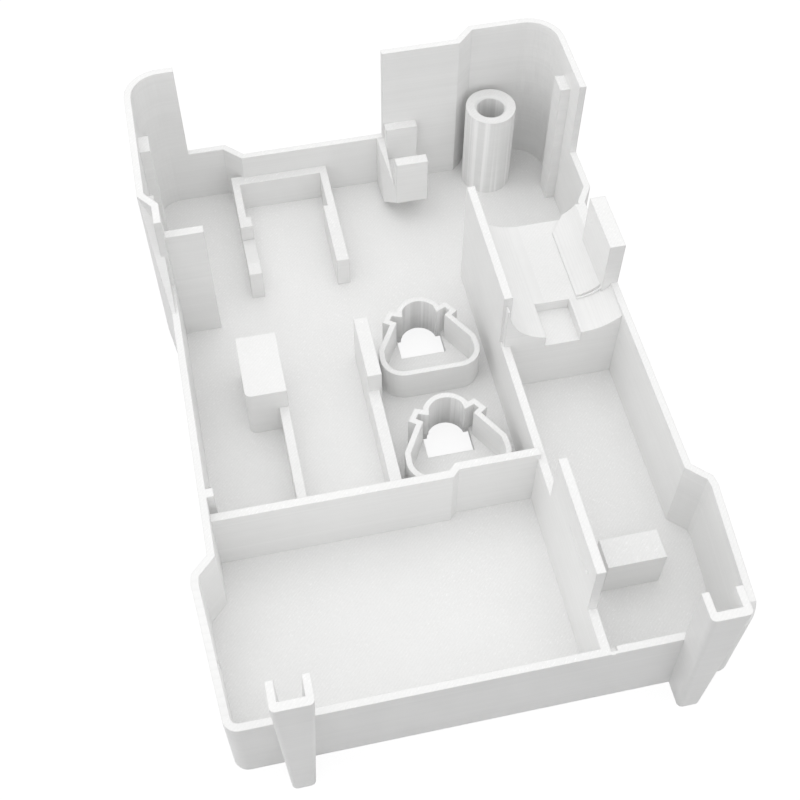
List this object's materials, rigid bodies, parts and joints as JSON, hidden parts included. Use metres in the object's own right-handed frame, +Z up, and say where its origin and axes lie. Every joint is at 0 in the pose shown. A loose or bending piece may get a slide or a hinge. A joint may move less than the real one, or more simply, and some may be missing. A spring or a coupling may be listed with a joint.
{
  "type": "tool case insert",
  "caption": "One-piece printed plastic tray insert for a tool case, with low ribs, shaped pockets, a round-bottomed trough, a bored post, tall rear corners and two channels on the front wall.",
  "frame": {"origin": "centre of the bounding box's bottom face, level with the lower edge of the outer wall", "axes": "+X right along the front wall, +Y from the front wall to the back wall, +Z up out of the tray"},
  "size_m": [0.1496, 0.2196, 0.0655],
  "materials": {
    "plastic": "printed, matte to satin"
  },
  "bodies": {
    "root": {"insert_tray": "plastic"}
  },
  "joints": []
}
